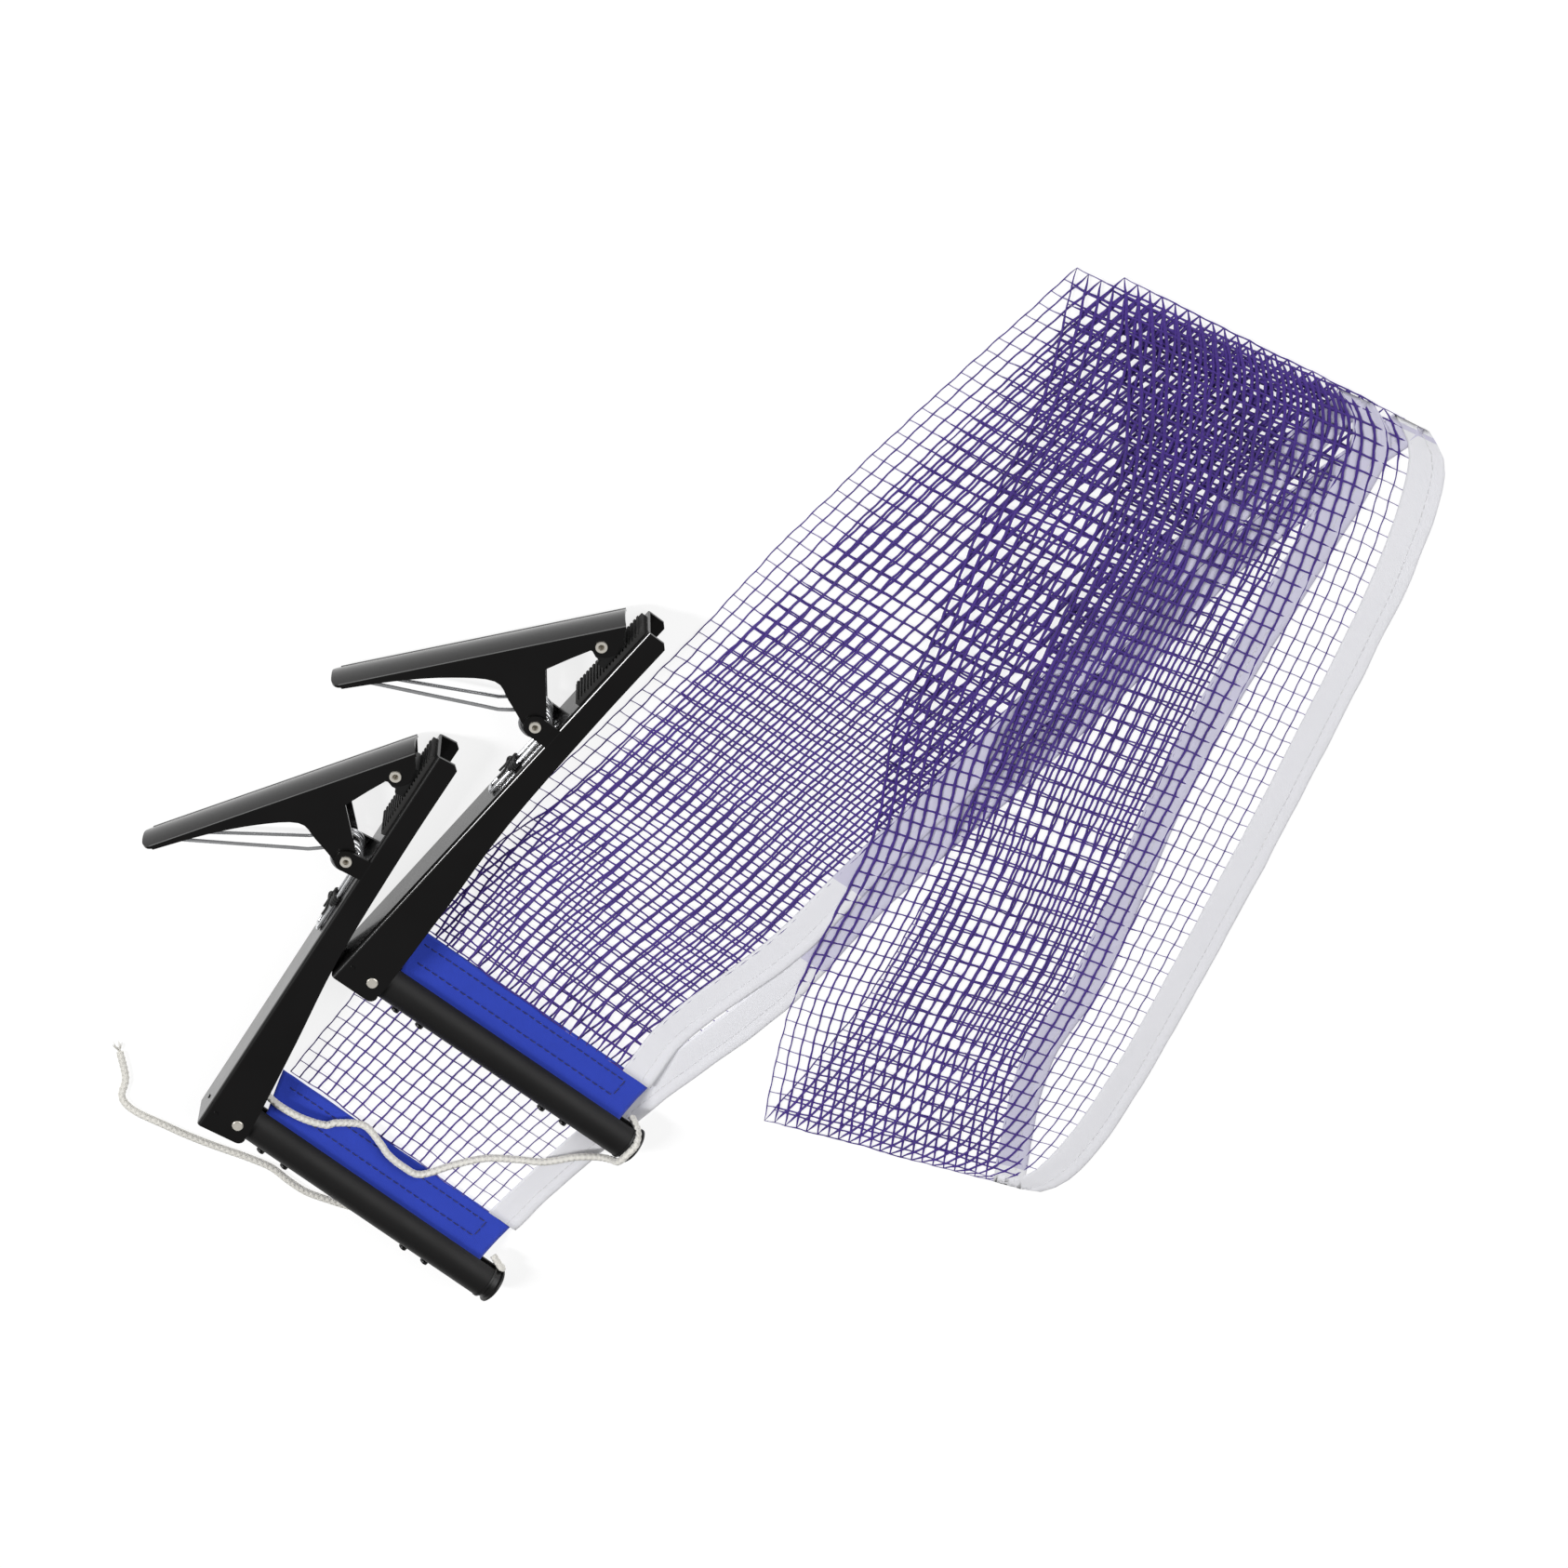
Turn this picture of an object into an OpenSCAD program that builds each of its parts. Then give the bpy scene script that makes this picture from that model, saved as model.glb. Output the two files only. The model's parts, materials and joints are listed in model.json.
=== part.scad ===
// Clip-on table tennis net set, packed flat: two sprung table clamps with net posts, joined by one folded net.
// Each clamp is drawn once, in its own frame, and placed twice. Units are millimetres, +Z is up.
// Clamp frame: origin on the lever pivot, +X along the arm to the jaw, +Y toward the lever, Z = 0 on the arm's
// lower flange. The row's origin is the centre of the set's footprint, on the surface it lies on.

/* [Arm] */
// Outside width of the steel channel
channel_width = 20.5; // [16:0.5:26]
// Sheet thickness of the channel
channel_wall = 1.2; // [0.8:0.1:2]
// Length of the arm from the lever pivot to the jaw end
jaw_reach = 62; // [50:1:80]
// Length of the arm from the lever pivot to the post end
post_reach = 146; // [120:1:170]
// Height of the lever pivot over the channel's face
pivot_height = 8; // [6:0.5:12]
// Thickness of the rubber pad on the channel's face
pad_thickness = 2.1; // [1:0.1:4]

/* [Lever] */
// Sheet thickness of the lever
lever_wall = 1; // [0.8:0.1:2]
// Gap between the lever's sides and the ears
lever_gap = 0.3; // [0.2:0.1:1]
// Rise of the handle's crowned back
crown_rise = 1.5; // [0.5:0.1:3]
// Distance from the lever pivot to the jaw pivot along the arm
jaw_pivot_x = 44.5; // [40:0.5:50]
// Height of the jaw pivot over the lever pivot
jaw_pivot_y = 1.7; // [0:0.1:3]

/* [Spring] */
// Wire diameter of the torsion spring
spring_wire = 1.6; // [1:0.1:2]
// Radius of the coils at the wire's centre
coil_radius = 6.2; // [5:0.1:6.5]
// Length of the rear legs along the channel
rear_leg = 38; // [30:1:45]

/* [Post] */
// Outside diameter of the post tube
post_diameter = 16; // [12:0.5:17]
// Wall of the post tube
post_wall = 1.2; // [0.8:0.1:2]
// Distance from the lever pivot to the post's axis along the arm
post_x = 137.8; // [120:0.1:150]
// Distance from the pivot line down to the post's foot
post_foot = 11; // [10:0.5:12]
// Distance from the pivot line down to the end of the tube
post_end = 159; // [150:1:170]
// Distance from the pivot line down to the post rivet
post_rivet_drop = 23.2; // [22:0.1:26]
// Width of the slot that the net's end band passes through
slot_width = 3; // [2:0.5:4]

/* [Net] */
// Thickness allowed for one layer of the folded net
net_layer = 0.9; // [0.6:0.1:1.2]
// Width of the tape along the net's top edge
tape_width = 14; // [10:1:20]
// Width of the end band that shows beside the post
band_width = 16; // [10:1:20]
// Thickness of the end band
band_thickness = 1; // [0.6:0.1:1.5]
// Diameter of the suspension cord
cord_diameter = 3.2; // [2:0.1:4]

/* [Hidden] */
$fn = 48;

// Moves the packed set so that the origin is the centre of its footprint
footprint_shift = [0.09, 1.92, 0];

// Where the two clamps lie: pivot position and turn of the arm, and how far each post has rocked on its rivet
clamp_a_at = [-102.7, 56.4, 1.9];
clamp_a_turn = 45.7;
post_a_rock = 0;
clamp_b_at = [-186.3, 0.2, 0.8];
clamp_b_turn = 54.2;
post_b_rock = -9.8;

// Shared derived sizes
mid = channel_width / 2;
face_y = -pivot_height;
cut = 0.5;
rivet_shaft_r = 2;
rivet_bore_r = 1.3;
rivet_head_r = 2.4;
rivet_head = 0.8;
running_gap = 0.05;

// Arm outline: the flange's free edge from the jaw end to the flared post end
flange_edge = [[jaw_reach - 2, -18.3], [16, -18.3], [-43, -20], [-88, -24.7], [-128, -28.5], [-141, -29.3]];
bend_radius = 1.8;
corner_radius = 3;
ear_radius = 4.8;
dimple_x = -137;
dimple_y = -12.2;

// Rubber pad and jaw foot
pad_from = 18;
pad_to = 60;
pad_width = 17;
rib_pitch = 2;
rib_height = 0.5;
jaw_clearance = 0.15;
foot_from = 37;
foot_to = 51;
foot_top = 3.6;

// Lever outline: the crease between side and back, the handle's curved under edge and the two lobes
crease_front = [57.6, -0.1];
crease_angle = 142.3;
crease_length = 118.2;
tip_overhang = 3;
tip_radius = 4;
lever_under = [[-36.3, 70.1], [-18.9, 54.8], [-4.5, 39.5], [5.2, 25], [2.1, 15.4], [-3.8, 2]];
pivot_lobe_r = 4.7;
jaw_lobe = [46.3, 1.1];
jaw_lobe_r = 5.9;
lever_low = channel_wall + lever_gap;
lever_high = channel_width - lever_low;
lever_width = lever_high - lever_low;
crown_inset = 0.3;
crown_half = lever_width / 2 - crown_inset;
crown_height = crown_rise + crown_inset;
crown_radius = (pow(crown_half, 2) + pow(crown_height, 2)) / (2 * crown_height);

// Spring: distances of the wires from the arm's mid plane
rear_leg_offset = 2.8;
coil_pitch = 1.7;
front_coil_offset = rear_leg_offset + 2 * coil_pitch;
front_leg_offset = 3.2;
wire_y = face_y + spring_wire / 2 + 0.2;
lashing_x = -22.5;

// Post
post_r = post_diameter / 2;
cap_plug = 6;
cap_length = 5.8;
groove_depth = 0.8;
stud_drops = [42, 54.7, 120.9, 132.8];
stud_r = 1.9;
stud_reach = 2;
rod_r = 3;
hem_r = rod_r + band_thickness;
band_from = 29;
band_to = 153;
band_low = 0.4;

// Net: edges of the four stacked layers, from the bottom of the stack up. The open edge is the net's foot,
// the tape edge is its top.
open_4 = [[-226, -111], [-140, -21], [-82, 22], [24, 116], [82, 168], [142, 222]];
tape_4 = [[-138, -204], [-73, -147], [-12, -102], [37, -52], [92, -3], [142, 43], [190, 95], [262, 147]];
open_1 = [[-160, -44], [-114, 9], [-72, 47], [26, 142], [83, 193], [124, 226.5]];
tape_1 = [[-73, -134], [-50, -108], [-3, -75], [32, -40], [96, 21], [174, 100], [239, 161]];
open_2 = [[124, 226.5], [108, 174], [76, 108], [44, 34], [29, -21], [-5, -89], [-24, -156]];
tape_2 = [[239, 161], [246, 140], [224, 98], [189, 39], [159, -21], [127, -99], [102, -140], [88, -200]];
open_3 = [[142, 222], [139, 136], [109, 69], [75, -1], [29, -92], [-24, -156]];
tape_3 = [[262, 147], [269, 128], [258, 89], [225, 15], [190, -58], [140, -156], [110, -198], [88, -206]];
layers = [[open_4, tape_4, 0], [open_1, tape_1, 1], [open_2, tape_2, 2], [open_3, tape_3, 3]];
crease_width = 3;
edge_steps = 4;

// Cord routes: cord a comes out of the tape, goes over clamp a's cap, crosses clamp b's band and tucks into
// clamp b's arm; cord b goes down round clamp b's cap, under the post and ends bare
cord_a_route = [[-81, -144, 8], [-78.6, -148.4, 13], [-79.6, -151.9, 18.5], [-84, -155.5, 20.9], [-88, -160, 18.8],
                [-91.5, -162.5, 13], [-97, -163.5, 9], [-107, -164, 7], [-121, -167, 4.4], [-132, -166, 2.7],
                [-146, -164, 2.7], [-160, -166, 2.7], [-175, -168, 5.4], [-182, -163, 6.2], [-188, -156, 6],
                [-191, -150, 5.2], [-197, -141, 4.2], [-208, -137, 6.8], [-213, -136.5, 8.4], [-223, -130.5, 10],
                [-233, -121, 10.5], [-239, -110, 10.5]];
cord_b_route = [[-148, -212, 8], [-144.8, -217, 11], [-145.5, -219.5, 6.5], [-149.5, -223, 2.6],
                [-154.5, -226, 1.7], [-160, -225, 1.7], [-167, -218.5, 1.7], [-177, -210.5, 1.7], [-188, -202, 1.7],
                [-201, -189, 1.7], [-215, -181.5, 1.7], [-226, -175.5, 1.7], [-233, -169, 1.7], [-240, -161, 1.7],
                [-250, -154.5, 1.7], [-262, -148, 1.7], [-273, -141.5, 1.7], [-284, -134, 1.7], [-295, -126, 1.7],
                [-299, -118.5, 1.7], [-296, -109, 1.7], [-296.5, -96, 1.7]];

// ---- Curves and tubes ----

function last(list) = list[len(list) - 1];

function unit(v) = v / norm(v);

// Point at t (0 to 1) on the smooth curve from b to c, with a and d as the points on either side
function curve_point(a, b, c, d, t) =
    0.5 * (2 * b + (c - a) * t + (2 * a - 5 * b + 4 * c - d) * t * t + (3 * b - a - 3 * c + d) * t * t * t);

// Smooth curve through every given point
function smooth(points, steps) = [
    for (i = [0 : len(points) - 2])
        for (k = [0 : steps - 1])
            curve_point(points[max(i - 1, 0)], points[i], points[i + 1], points[min(i + 2, len(points) - 1)],
                        k / steps),
    last(points)
];

function reversed(list) = [for (i = [len(list) - 1 : -1 : 0]) list[i]];

function heading(path, i) = unit(path[min(i + 1, len(path) - 1)] - path[max(i - 1, 0)]);

// Path moved sideways by a distance, to the left of its heading
function beside(path, distance) = [
    for (i = [0 : len(path) - 1])
        let (h = heading(path, i))
            path[i] + distance * [-h.y, h.x]
];

// Corners of the ring round point i of a path; a flat of the ring faces away from the up direction
function ring(path, i, radius, sides, up) =
    let (h = heading(path, i), side = unit(cross(h, up)), top = cross(side, h))
        [for (k = [0 : sides - 1])
            let (angle = 360 * (k + 0.5) / sides)
                path[i] + radius * (cos(angle) * side + sin(angle) * top)];

// Closed tube along a path of 3-D points that never runs along the up direction
module tube_along(path, diameter, up = [0, 0, 1], sides = 8) {
    rings = len(path);
    corners = [for (i = [0 : rings - 1]) for (corner = ring(path, i, diameter / 2, sides, up)) corner];
    walls = [for (i = [0 : rings - 2]) for (k = [0 : sides - 1])
        let (next = (k + 1) % sides)
            [i * sides + k, (i + 1) * sides + k, (i + 1) * sides + next, i * sides + next]];
    start_cap = [for (k = [0 : sides - 1]) k];
    end_cap = [for (k = [sides - 1 : -1 : 0]) (rings - 1) * sides + k];
    polyhedron(corners, concat([start_cap], walls, [end_cap]), convexity = 6);
}

// ---- Placing ----

module on_clamp_a() {
    translate(footprint_shift + clamp_a_at) rotate(clamp_a_turn) children();
}

module on_clamp_b() {
    translate(footprint_shift + clamp_b_at) rotate(clamp_b_turn) children();
}

module rocked(angle) {
    translate([-post_x, -post_rivet_drop, 0]) rotate(angle) translate([post_x, post_rivet_drop, 0]) children();
}

module on_post_a() {
    on_clamp_a() rocked(post_a_rock) children();
}

module on_post_b() {
    on_clamp_b() rocked(post_b_rock) children();
}

// ---- Clamp ----

module steel_black() {
    color([0.05, 0.05, 0.055]) children();
}

// Round hole along Z
module drill(at, radius) {
    translate([at.x, at.y, -cut]) cylinder(r = radius, h = channel_width + 2 * cut);
}

module arm_outline() {
    foot = last(flange_edge);
    polygon(concat([[-post_reach, face_y], [jaw_reach, face_y], [jaw_reach, -16.3]],
                   smooth(flange_edge, edge_steps), [[-post_reach, foot.y + corner_radius]]));
    translate([-post_reach + corner_radius, foot.y + corner_radius]) circle(corner_radius);
}

// Channel section: web at the top, flanges hanging down, rounded outer bends
module channel_section(depth) {
    difference() {
        union() {
            translate([0, -depth]) square([channel_width, depth - bend_radius]);
            translate([bend_radius, -depth]) square([channel_width - 2 * bend_radius, depth]);
            for (x = [bend_radius, channel_width - bend_radius])
                translate([x, -bend_radius]) circle(bend_radius);
        }
        translate([channel_wall, -depth - cut])
            square([channel_width - 2 * channel_wall, depth - channel_wall + cut]);
    }
}

module ear() {
    linear_extrude(channel_wall) {
        circle(ear_radius);
        translate([-ear_radius, face_y - channel_wall]) square([2 * ear_radius, pivot_height + channel_wall]);
    }
}

module frame() {
    steel_black() difference() {
        union() {
            intersection() {
                translate([-post_reach, face_y, channel_width]) rotate([0, 90, 0])
                    linear_extrude(post_reach + jaw_reach) channel_section(24);
                linear_extrude(channel_width) arm_outline();
            }
            ear();
            translate([0, 0, channel_width - channel_wall]) ear();
            translate([dimple_x, dimple_y, channel_width]) cylinder(r = 0.9, h = 0.4);
            translate([dimple_x, face_y, mid]) rotate([-90, 0, 0]) cylinder(r = 0.9, h = 0.4);
        }
        drill([0, 0], rivet_shaft_r);
        drill([-post_x, -post_rivet_drop], rivet_shaft_r);
    }
}

module rubber_pad() {
    color([0.1, 0.1, 0.1]) {
        base = pad_thickness - rib_height;
        translate([pad_from, face_y, mid - pad_width / 2]) cube([pad_to - pad_from, base, pad_width]);
        for (x = [pad_from + 1 : rib_pitch : pad_to - 1.5])
            translate([x, face_y + base, mid - pad_width / 2]) cube([rib_pitch / 2, rib_height, pad_width]);
    }
}

module lever_outline() {
    difference() {
        union() {
            polygon(concat([crease_front, crease_front + crease_length * [cos(crease_angle), sin(crease_angle)]],
                           smooth(lever_under, edge_steps),
                           [[2, -3], [6.3, -0.9], [22.4, 12.6], [32.7, 7.9], [40.5, 4], [43, -4], [51, -4.2]]));
            translate([0.6, -0.6]) circle(pivot_lobe_r);
            translate(jaw_lobe) circle(jaw_lobe_r);
        }
        circle(rivet_shaft_r + running_gap);
        translate([jaw_pivot_x, jaw_pivot_y]) circle(rivet_shaft_r + running_gap);
    }
}

// Handle back: a shallow arc whose edges sink into the two sides
module crown_section() {
    intersection() {
        translate([crown_radius - crown_rise, 0]) difference() {
            circle(crown_radius);
            circle(crown_radius - lever_wall);
        }
        translate([-crown_rise - cut, -crown_half]) square([crown_height + lever_wall + 2 * cut, 2 * crown_half]);
    }
}

// Handle back seen square on: a long strip with two rounded corners at the tip
module crown_plan() {
    length = crease_length + tip_overhang;
    translate([0, -crown_half]) square([length - tip_radius, 2 * crown_half]);
    translate([0, tip_radius - crown_half]) square([length, 2 * (crown_half - tip_radius)]);
    for (side = [-1, 1])
        translate([length - tip_radius, side * (crown_half - tip_radius)]) circle(tip_radius);
}

module lever() {
    steel_black() {
        for (z = [lever_low, lever_high - lever_wall])
            translate([0, 0, z]) linear_extrude(lever_wall) lever_outline();
        translate([crease_front.x, crease_front.y, mid]) rotate(crease_angle) intersection() {
            rotate([90, 0, 90]) linear_extrude(crease_length + tip_overhang) crown_section();
            translate([0, 2 * crown_rise, 0]) rotate([90, 0, 0]) linear_extrude(4 * crown_rise) crown_plan();
        }
    }
}

module jaw_foot() {
    foot_low = face_y + pad_thickness + jaw_clearance;
    steel_black() difference() {
        translate([0, 0, lever_low + lever_wall + lever_gap])
            linear_extrude(lever_width - 2 * (lever_wall + lever_gap)) {
                translate([foot_from, foot_low]) square([foot_to - foot_from, 3]);
                translate([foot_from + 1, foot_low + 3]) circle(1);
                polygon([[foot_from + 2, foot_low + 2], [foot_to - 1, foot_low + 2], [jaw_pivot_x + 4, jaw_pivot_y],
                         [jaw_pivot_x - 4, foot_top], [foot_from + 2, foot_low + 6]]);
                translate([jaw_pivot_x, jaw_pivot_y]) circle(4);
            }
        drill([jaw_pivot_x, jaw_pivot_y], rivet_shaft_r + running_gap);
    }
}

// Tubular rivet with a rolled head at each end
module tubular_rivet(low, high) {
    color([0.8, 0.8, 0.8]) difference() {
        union() {
            translate([0, 0, low - rivet_head]) cylinder(r = rivet_shaft_r, h = high - low + 2 * rivet_head);
            for (z = [low - rivet_head, high])
                translate([0, 0, z]) cylinder(r = rivet_head_r, h = rivet_head);
        }
        translate([0, 0, low - rivet_head - cut])
            cylinder(r = rivet_bore_r, h = high - low + 2 * (rivet_head + cut));
    }
}

module pivot_rivet() {
    tubular_rivet(0, channel_width);
}

module jaw_rivet() {
    translate([jaw_pivot_x, jaw_pivot_y, 0]) tubular_rivet(lever_low, lever_high);
}

// Turns a half path into the whole one: out along one side of the mid plane, back along the other.
// Each point is [x, y, distance from the mid plane].
function both_sides(half) = concat(
    [for (p = half) [p.x, p.y, mid - p.z]],
    [for (p = reversed(half)) [p.x, p.y, mid + p.z]]
);

module wire(half) {
    color([0.75, 0.76, 0.78]) tube_along(both_sides(half), spring_wire, up = [0, 0.7, 1]);
}

// Rear half of the spring: one turn about the pivot each side, then two legs along the channel to a loop
module spring_coils() {
    turn = [for (angle = [270 : -22.5 : -90])
        [coil_radius * cos(angle), coil_radius * sin(angle), rear_leg_offset + coil_pitch * (angle + 90) / 360]];
    leg = [[-4, wire_y + 0.4, rear_leg_offset], [-10, wire_y, rear_leg_offset],
           [1 - rear_leg, wire_y, rear_leg_offset], [-rear_leg, wire_y, rear_leg_offset - 0.8],
           [-rear_leg - 0.4, wire_y, 0.7]];
    wire(concat(turn, leg));
}

// Front half: most of a turn about the pivot each side, then two legs that push up under the handle
module spring_legs() {
    turn = [for (angle = [-270 : 22.5 : 45])
        [coil_radius * cos(angle), coil_radius * sin(angle), front_coil_offset]];
    leg = [[0.5, 8.5, front_coil_offset - 0.2], [-4.5, 14.5, front_coil_offset - 0.5],
           [-8, 21, front_coil_offset - 0.9], [-31.5, 66.2, front_leg_offset], [-32.4, 67.9, front_leg_offset - 0.9], [-32.8, 68.6, 0.9]];
    wire(concat(turn, leg));
}

module spring_lashing() {
    low = mid - rear_leg_offset - 1.8;
    color([0.04, 0.04, 0.04]) difference() {
        translate([lashing_x, face_y + 1.7, low]) cylinder(r = 1.6, h = 2 * rear_leg_offset + 3.6);
        for (side = [-1, 1])
            translate([lashing_x - 3, wire_y, mid + side * rear_leg_offset]) rotate([0, 90, 0])
                cylinder(d = spring_wire + 0.1, h = 6);
    }
}

// ---- Post ----

// Anything drawn along Z comes to lie along the post, from its foot toward its cap
module along_post(drop) {
    translate([-post_x, -drop, mid]) rotate([90, 0, 0]) children();
}

module post_tube() {
    steel_black() difference() {
        along_post(post_foot) difference() {
            cylinder(d = post_diameter, h = post_end - post_foot);
            translate([0, 0, -cut]) cylinder(d = post_diameter - 2 * post_wall, h = post_end - post_foot + 2 * cut);
            translate([0, -slot_width / 2, band_from - post_foot - 1])
                cube([post_diameter, slot_width, post_end]);
        }
        drill([-post_x, -post_rivet_drop], rivet_shaft_r);
        for (drop = stud_drops)
            translate([-post_x, -drop, mid]) rotate([0, -90, 0]) cylinder(r = stud_r / 2, h = post_diameter);
    }
}

module post_rivet() {
    color([0.85, 0.85, 0.85]) translate([-post_x, -post_rivet_drop, 0]) {
        translate([0, 0, -rivet_head]) cylinder(r = rivet_shaft_r, h = channel_width + 2 * rivet_head);
        translate([0, 0, -rivet_head]) cylinder(r = rivet_head_r, h = rivet_head);
        translate([0, 0, channel_width]) cylinder(r1 = rivet_head_r, r2 = 1.4, h = rivet_head);
    }
}

// Plug, rim, a shallow groove round it that guides the cord, and an end disc with a rounded edge
module post_cap() {
    inner_r = post_r - post_wall - 0.1;
    rim_r = post_r + 0.3;
    groove_r = post_r - groove_depth;
    steel_black() along_post(post_end - cap_plug) difference() {
        rotate_extrude() polygon([[0, 0], [inner_r, 0], [inner_r, cap_plug], [rim_r, cap_plug],
                                  [rim_r, cap_plug + 0.9], [groove_r, cap_plug + 1.5], [groove_r, cap_plug + 3.9],
                                  [rim_r, cap_plug + 4.5], [rim_r, cap_plug + cap_length - 0.6],
                                  [rim_r - 0.9, cap_plug + cap_length],
                                  [0, cap_plug + cap_length]]);
        translate([0, -slot_width / 2, -cut]) cube([post_diameter, slot_width, 3]);
    }
}

module cord_studs() {
    steel_black() for (drop = stud_drops)
        translate([-post_x, -drop, mid]) rotate([0, -90, 0]) {
            translate([0, 0, post_r - post_wall]) cylinder(r = stud_r / 2, h = post_wall + stud_reach);
            translate([0, 0, post_r + 0.9]) cylinder(r = stud_r, h = stud_reach - 0.9);
        }
}

module hem_rod() {
    color([0.7, 0.7, 0.7]) along_post(band_from + 1) cylinder(r = rod_r, h = band_to - band_from - 8);
}

// End band: a hem round the rod and a flap through the tube's slot, sloping down to the net
module hem_band() {
    half = band_thickness / 2;
    edge = post_r + band_width;
    color([0.1, 0.2, 0.8]) along_post(band_from) linear_extrude(band_to - band_from) difference() {
        union() {
            circle(hem_r);
            polygon([[0, -half], [post_r, -half], [edge, band_low - mid],
                     [edge, band_low + band_thickness - mid], [post_r, half], [0, half]]);
        }
        circle(rod_r);
    }
}

// ---- Net and cords ----

module net_layer_solid(near_edge, far_edge, level) {
    translate(footprint_shift + [0, 0, level * net_layer]) linear_extrude(net_layer)
        polygon(concat(near_edge, reversed(far_edge)));
}

// The tape lies to the right of the open edge on the way up and to the left on the way down
function tape_side(level) = level < 2 ? 1 : -1;

module net_mesh() {
    color([0.2, 0.15, 0.5]) {
        for (layer = layers) {
            tape = smooth(layer[1], edge_steps);
            net_layer_solid(smooth(layer[0], edge_steps), beside(tape, tape_side(layer[2]) * tape_width), layer[2]);
        }
        crease([open_1[5], beside_end(tape_1, 1)], 1, 2);
        crease([open_4[5], beside_end(tape_4, 1)], 0, 4);
        crease([open_3[5], beside_end(tape_3, -1)], 2, 2);
    }
}

function beside_end(tape, side) = last(beside(smooth(tape, edge_steps), side * tape_width));

// Fold that joins two layers of the stack
module crease(ends, level, count) {
    along = unit(ends[1] - ends[0]);
    across = [-along.y, along.x] * crease_width / 2;
    translate(footprint_shift + [0, 0, level * net_layer]) linear_extrude(count * net_layer)
        polygon([ends[0] + across, ends[0] - across, ends[1] - across, ends[1] + across]);
}

module net_tape() {
    color([0.92, 0.92, 0.95]) for (layer = layers) {
        tape = smooth(layer[1], edge_steps);
        net_layer_solid(beside(tape, tape_side(layer[2]) * (tape_width - 0.1)), tape, layer[2]);
    }
}

module cord(route) {
    color([0.9, 0.9, 0.88]) translate(footprint_shift) tube_along(smooth(route, 2), cord_diameter);
}

on_clamp_a() frame();  // frame_a
on_clamp_a() rubber_pad();  // rubber_pad_a
on_clamp_a() lever();  // lever_a
on_clamp_a() jaw_foot();  // jaw_foot_a
on_clamp_a() pivot_rivet();  // pivot_rivet_a
on_clamp_a() jaw_rivet();  // jaw_rivet_a
on_clamp_a() spring_coils();  // spring_coils_a
on_clamp_a() spring_legs();  // spring_legs_a
on_clamp_a() spring_lashing();  // spring_lashing_a
on_post_a() post_tube();  // post_tube_a
on_clamp_a() post_rivet();  // post_rivet_a
on_post_a() post_cap();  // post_cap_a
on_post_a() cord_studs();  // cord_studs_a
on_post_a() hem_rod();  // hem_rod_a
on_post_a() hem_band();  // hem_band_a
cord(cord_a_route);  // cord_a
on_clamp_b() frame();  // frame_b
on_clamp_b() rubber_pad();  // rubber_pad_b
on_clamp_b() lever();  // lever_b
on_clamp_b() jaw_foot();  // jaw_foot_b
on_clamp_b() pivot_rivet();  // pivot_rivet_b
on_clamp_b() jaw_rivet();  // jaw_rivet_b
on_clamp_b() spring_coils();  // spring_coils_b
on_clamp_b() spring_legs();  // spring_legs_b
on_clamp_b() spring_lashing();  // spring_lashing_b
on_post_b() post_tube();  // post_tube_b
on_clamp_b() post_rivet();  // post_rivet_b
on_post_b() post_cap();  // post_cap_b
on_post_b() cord_studs();  // cord_studs_b
on_post_b() hem_rod();  // hem_rod_b
on_post_b() hem_band();  // hem_band_b
cord(cord_b_route);  // cord_b
net_mesh();
net_tape();
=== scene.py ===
"""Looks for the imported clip-on table tennis net set.

Makes the net, tape, end bands, cords, springs and lashings, and the materials, the light and the camera.
Lengths are millimetres, as in the CAD source, except where metres are named. Points turn into metres as a
mesh is made.
"""

import json
import math

import bmesh
import bpy
import numpy as np
from mathutils import Matrix, Vector


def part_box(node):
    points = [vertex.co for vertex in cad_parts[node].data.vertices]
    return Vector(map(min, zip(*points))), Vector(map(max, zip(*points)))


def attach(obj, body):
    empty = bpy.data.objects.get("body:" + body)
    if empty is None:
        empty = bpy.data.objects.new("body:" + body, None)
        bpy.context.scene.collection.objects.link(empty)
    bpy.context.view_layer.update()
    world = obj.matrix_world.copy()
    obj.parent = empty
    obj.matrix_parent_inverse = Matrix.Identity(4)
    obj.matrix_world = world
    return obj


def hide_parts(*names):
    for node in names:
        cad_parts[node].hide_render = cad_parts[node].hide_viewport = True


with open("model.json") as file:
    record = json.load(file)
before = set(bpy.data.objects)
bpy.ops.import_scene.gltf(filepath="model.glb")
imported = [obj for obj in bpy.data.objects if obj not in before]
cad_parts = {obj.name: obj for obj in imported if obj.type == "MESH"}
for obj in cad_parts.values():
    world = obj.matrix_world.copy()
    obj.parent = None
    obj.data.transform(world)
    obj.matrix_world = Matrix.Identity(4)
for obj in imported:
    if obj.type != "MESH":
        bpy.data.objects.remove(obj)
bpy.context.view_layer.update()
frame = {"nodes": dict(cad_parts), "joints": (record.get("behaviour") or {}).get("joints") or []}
MM = 0.001
UP = np.array([0.0, 0.0, 1.0])
random = np.random.default_rng(11)

# ---- Numbers shared with the CAD source ----

FOOTPRINT_SHIFT = np.array([0.09, 1.92, 0.0])

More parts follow.
